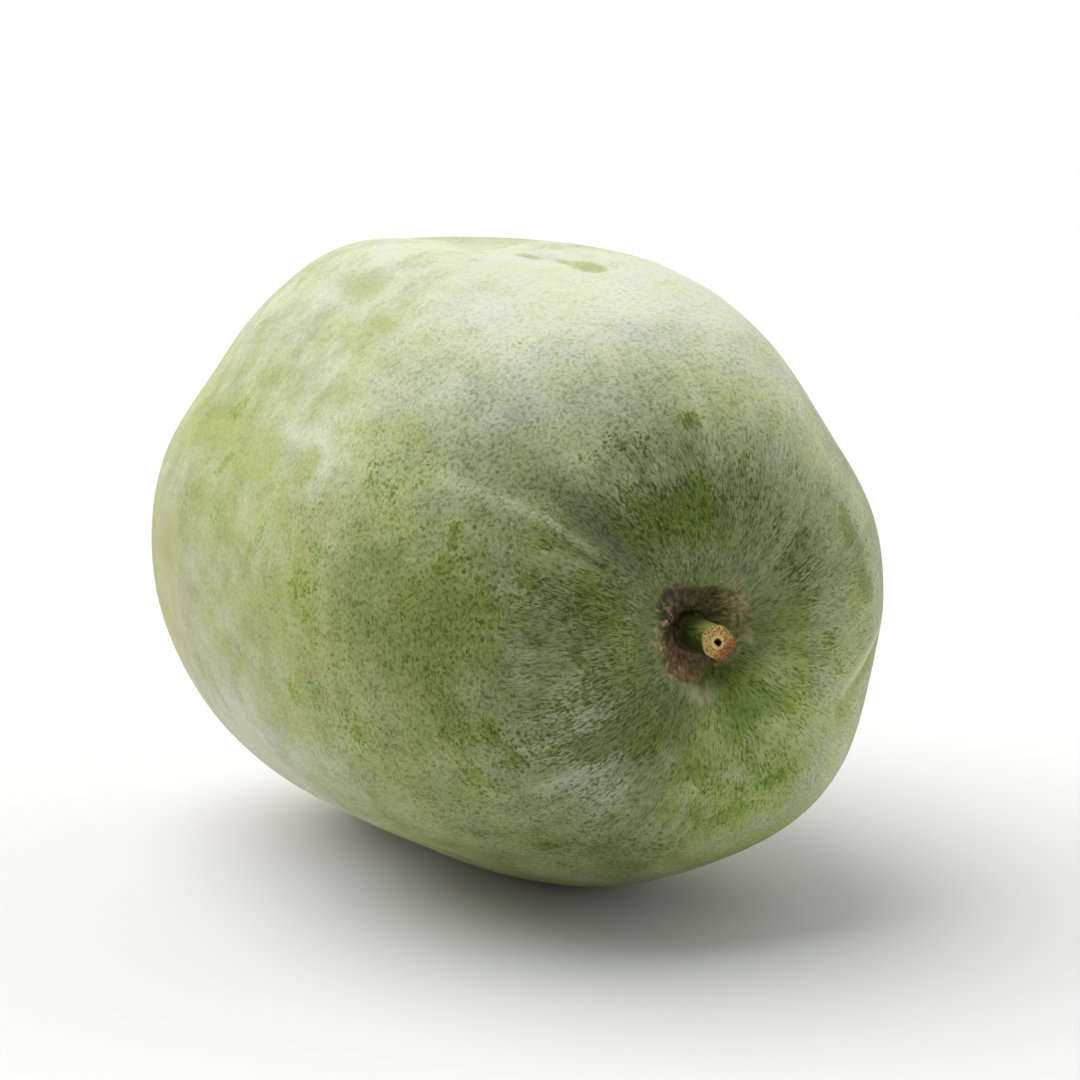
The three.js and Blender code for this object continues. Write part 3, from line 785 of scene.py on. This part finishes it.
def stem_piece():
    rows = stem_rows()
    turn = np.arange(STEM_SIDES) * 2 * math.pi / STEM_SIDES
    TURN, ROW_RADIUS = np.meshgrid(turn, rows[:, 0])
    OUT = np.meshgrid(turn, rows[:, 1])[1]
    section = 1 + STEM_RIBS["share"] * np.cos(STEM_RIBS["count"] * TURN)
    section += STEM_OVAL["share"] * np.cos(2 * (TURN - math.radians(STEM_OVAL["towards"])))
    radius = ROW_RADIUS * section

    def wood(size, seed):
        points = np.stack([radius * np.cos(TURN), OUT, radius * np.sin(TURN)], -1).reshape(-1, 3)
        return rough(points, size, seed).reshape(TURN.shape)

    def fibre(turns, reach, seed):
        points = np.stack([turns * np.cos(TURN), turns * np.sin(TURN), OUT / reach], -1).reshape(-1, 3)
        return rough(points, 1, seed).reshape(TURN.shape)

    on_face = np.arange(len(rows))[:, None] < len(HOLLOW) + len(CUT_FACE) + len(CUT_RIM) + 0 * TURN
    down = smooth(OUT, 4, 20)
    sunk = 0
    for groove in STEM_GROOVES:
        sunk = sunk + groove["depth"] * (fibre(groove["turns"], groove["reach"], groove["seed"]) - 1)
    in_hollow = 1 - smooth(ROW_RADIUS, 1.2, 2.6)
    radius = radius * np.where(on_face, 1 + 0.3 * in_hollow * fibre(1.6, 40, 33), 1)
    radius = radius + np.where(on_face, 0, sunk * (0.4 + 0.6 * down))
    out = OUT
    for dent in CUT_DENTS:
        out = out + np.where(on_face, dent["depth"] * (wood(dent["size"], dent["seed"]) - 1), 0)
    cavity_floor = stem_end_y(0)
    rings = np.stack([radius * np.cos(TURN), cavity_floor - out, radius * np.sin(TURN)], -1)
    piece = skin("stalk_stub", place([0, cavity_floor - HOLLOW_BOTTOM, 0]), place(rings),
                 place([0, cavity_floor - 2 * STEM_GAP, 0]))
    paint(piece, "cut", np.where(on_face, 1.0, 0.0), (1, 0))
    from_axis = ROW_RADIUS / STEM_CUT_RADIUS
    paint(piece, "ring", np.where(on_face, from_axis, 1.0), (0, 1))
    paint(piece, "out", OUT / STEM_CUT, (1, 0))
    paint_vectors(piece, "spokes", np.cos(TURN), np.sin(TURN), from_axis, [(0, 0, 0), (0, 0, 1)])
    paint(piece, "lit_side", 0.5 + 0.5 * np.cos(TURN - math.radians(LIT_SIDE)), (0.5, 0.5))
    paint(piece, "rusty", np.cos(TURN - math.radians(RUSTY_SIDE)) * from_axis, (0, 0))
    return piece


# The stalk's colours: (place, red, green, blue) stops, or plain colours.
# Greens from the painted shade on the stalk's lower side to the painted light on its upper side.
STALK_GREENS_SHADED_TO_LIT = [
    (0.5, 0.022, 0.040, 0.005), (0.8, 0.08, 0.125, 0.016), (0.96, 0.33, 0.44, 0.06),
    (1.06, 0.60, 0.68, 0.20),
]
BRUISED_EDGE = (0.52, 0.45, 0.16, 1)
SHADED_GREEN = (0.034, 0.050, 0.009, 1)
# Dark cork for the stalk's foot, partly painted shade where it sinks into the cavity.
FOOT_CORK_AND_SHADE = [(0.35, 0.030, 0.022, 0.011), (0.6, 0.13, 0.095, 0.048)]
PITH = [(0.38, 0.31, 0.19, 0.040), (0.62, 0.70, 0.51, 0.15)]
PALE_PITH = (0.74, 0.58, 0.27, 1)
RUSTY_PITH = [(0.35, 0.15, 0.046, 0.008), (0.65, 0.46, 0.17, 0.034)]
DRIED_SAP = (0.085, 0.035, 0.010, 1)
HOLLOW_PITH_AND_SHADE = (0.022, 0.012, 0.005, 1)
# How closely the sap vessels stand round the cut face and out from its middle.
VESSELS_ROUND = 6.0
VESSELS_OUT = 6.5


def cut_stalk():
    material, tree, shader = new_material("cut_stalk")
    spot = node(tree, "TexCoord").outputs["Object"]

    def painted(name):
        return node(tree, "Attribute", {"attribute_name": name}).outputs["Fac"]

    def clouds(scale, detail, vector=spot):
        return node(tree, "TexNoise", Vector=vector, Scale=scale, Detail=detail).outputs["Fac"]

    def times(first, second):
        return maths(tree, "MULTIPLY", first, second)

    stretched = node(tree, "VectorMath", {"operation": "MULTIPLY"}, Vector=spot)
    stretched.inputs[1].default_value = (1500, 220, 1500)
    fibres = clouds(1.0, 3.0, stretched.outputs[0])
    blotches = clouds(420.0, 3.0)
    grit = clouds(2600.0, 2.0)

    # The side: painted light and shade, yellow-green above and dark green below, in fine fibres, with a
    # bruised edge at the cut, painted shade lower down, and dark cork, partly painted shade, creeping up
    # from the foot.
    swung_out = maths(tree, "MULTIPLY_ADD", maths(tree, "SUBTRACT", blotches, 0.5), 0.4, painted("out"))
    shade = maths(tree, "MULTIPLY_ADD", painted("lit_side"), 0.75, times(fibres, 0.55))
    shade = maths(tree, "MULTIPLY_ADD", blotches, 0.3, shade)
    side = ramp(tree, shade, *STALK_GREENS_SHADED_TO_LIT)
    side = mix(tree, between(tree, painted("out"), 0.93, 0.985, 0.0, 0.8), side, BRUISED_EDGE)
    side = mix(tree, between(tree, painted("out"), 0.3, 0.85, 0.75, 0.0), side, SHADED_GREEN)
    foot_cork_and_shade = ramp(tree, blotches, *FOOT_CORK_AND_SHADE)
    side = mix(tree, between(tree, swung_out, 0.14, 0.36, 1.0, 0.0), side, foot_cork_and_shade)

    # The cut face: tan pith, brown sap vessels, a rusty quarter, and a hollow painted dark, partly torn
    # pith and partly painted shade.
    pith = ramp(tree, grit, *PITH)
    ring = painted("ring")
    paler = times(between(tree, ring, 0.24, 0.30), between(tree, ring, 0.36, 0.46, 1.0, 0.0))
    pith = mix(tree, times(paler, 0.6), pith, PALE_PITH)
    rust_edge = maths(tree, "MULTIPLY_ADD", clouds(700.0, 4.0), 1.6, painted("rusty"))
    rust = between(tree, rust_edge, 0.9, 1.45)
    pith = mix(tree, rust, pith, ramp(tree, grit, *RUSTY_PITH))
    turned = node(tree, "Attribute", {"attribute_name": "spokes"}).outputs["Vector"]
    spokes = node(tree, "VectorMath", {"operation": "MULTIPLY"}, Vector=turned)
    spokes.inputs[1].default_value = (VESSELS_ROUND, VESSELS_ROUND, VESSELS_OUT)
    vessels = node(tree, "TexVoronoi", Vector=spokes.outputs[0], Scale=1.0, Randomness=0.75)
    lot = node(tree, "SeparateColor", Color=vessels.outputs["Color"]).outputs["Red"]
    vessel = between(tree, vessels.outputs["Distance"], 0.25, 0.5, 1.0, 0.0)
    vessel = times(vessel, between(tree, ring, 0.36, 0.46))
    vessel = times(vessel, between(tree, ring, 0.90, 0.97, 1.0, 0.0))
    vessel = times(vessel, between(tree, lot, 0.0, 0.4, 0.45, 1.0))
    pith = mix(tree, times(vessel, 0.9), pith, DRIED_SAP)
    # The hollow in the middle is painted nearly black, partly dark torn pith and partly painted shade.
    hollow = between(tree, maths(tree, "MULTIPLY_ADD", blotches, 0.12, ring), 0.24, 0.30, 1.0, 0.0)
    pith = mix(tree, hollow, pith, HOLLOW_PITH_AND_SHADE)
    colour = mix(tree, painted("cut"), side, pith)
    tree.links.new(colour, shader.inputs["Base Color"])

    tree.links.new(between(tree, fibres, 0.3, 0.7, 0.45, 0.65), shader.inputs["Roughness"])
    shader.inputs["Specular IOR Level"].default_value = 0.3
    relief = maths(tree, "MULTIPLY_ADD", times(vessel, painted("cut")), -1.5, fibres)
    bump = node(tree, "Bump", Height=relief, Strength=0.5, Distance=0.0003)
    tree.links.new(bump.outputs[0], shader.inputs["Normal"])
    return material


stem = stem_piece()
stem.data.materials.append(cut_stalk())
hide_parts("stem")
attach(stem, "root")

# ---------------------------------------------------------------------------------------------------
# The studio: a plain pale floor that runs out of sight, wide soft light from above and from the right,
# a glow from behind, and a camera a little above the fruit on its stem side.

FLOOR_SIDE = 30
FLOOR_GAP = 0.0002
floor_mesh = bpy.data.meshes.new("floor")
half = FLOOR_SIDE / 2
corners = [(-half, -half, 0), (half, -half, 0), (half, half, 0), (-half, half, 0)]
floor_mesh.from_pydata(corners, [], [(0, 1, 2, 3)])
floor = bpy.data.objects.new("floor", floor_mesh)
floor.location.z = -FLOOR_GAP
bpy.context.scene.collection.objects.link(floor)
floor_material, _, floor_shader = new_material("pale_floor")
floor_shader.inputs["Base Color"].default_value = (0.73, 0.73, 0.73, 1)
floor_shader.inputs["Roughness"].default_value = 0.9
floor_shader.inputs["Specular IOR Level"].default_value = 0.1
floor_mesh.materials.append(floor_material)

CAMERA_TURN = math.radians(28)
CAMERA_RISE = math.radians(13)
CAMERA_DISTANCE = 1.56
CAMERA_LENS = 125.6
AIM_RIGHT = 0.0153
AIM_UP = 0.005
toward = Vector((-math.sin(CAMERA_TURN) * math.cos(CAMERA_RISE),
                 -math.cos(CAMERA_TURN) * math.cos(CAMERA_RISE), math.sin(CAMERA_RISE)))
right = Vector((math.cos(CAMERA_TURN), -math.sin(CAMERA_TURN), 0))
up = right.cross(-toward)
aim = axis + right * AIM_RIGHT + up * AIM_UP
camera_data = bpy.data.cameras.new("camera")
camera_data.lens = CAMERA_LENS
camera_data.sensor_width = 36
camera = bpy.data.objects.new("camera", camera_data)
camera.location = axis + toward * CAMERA_DISTANCE
camera.rotation_euler = (aim - camera.location).to_track_quat("-Z", "Y").to_euler()
bpy.context.scene.collection.objects.link(camera)
bpy.context.scene.camera = camera


def soft_lamp(name, comes_from, energy, spread):
    """A wide soft sheet of light from one side, as from a large white panel."""
    lamp = bpy.data.lights.new(name, "SUN")
    lamp.energy = energy
    lamp.angle = math.radians(spread)
    panel = bpy.data.objects.new(name, lamp)
    panel.rotation_euler = Vector(comes_from).to_track_quat("Z", "Y").to_euler()
    bpy.context.scene.collection.objects.link(panel)


from_the_side = right * 0.9 - toward * 0.25 + Vector((0, 0, 0.12))
soft_lamp("overhead", comes_from=(-0.6, 0.6, 1.6), energy=2.5, spread=65)
soft_lamp("side_panel", comes_from=from_the_side, energy=0.7, spread=50)

# The white walls of the room glow most on the far side of the fruit.
world = bpy.data.worlds.new("studio")
world.use_nodes = True
bpy.context.scene.world = world
sky = world.node_tree
facing = node(sky, "VectorMath", {"operation": "DOT_PRODUCT"})
sky.links.new(node(sky, "TexCoord").outputs["Generated"], facing.inputs[0])
facing.inputs[1].default_value = tuple(toward)
strength = between(sky, facing.outputs["Value"], -0.2, 0.9, 0.95, 0.2)
sky.links.new(strength, sky.nodes["Background"].inputs["Strength"])
sky.nodes["Background"].inputs["Color"].default_value = (1, 1, 1, 1)
bpy.context.scene.view_settings.view_transform = "Standard"
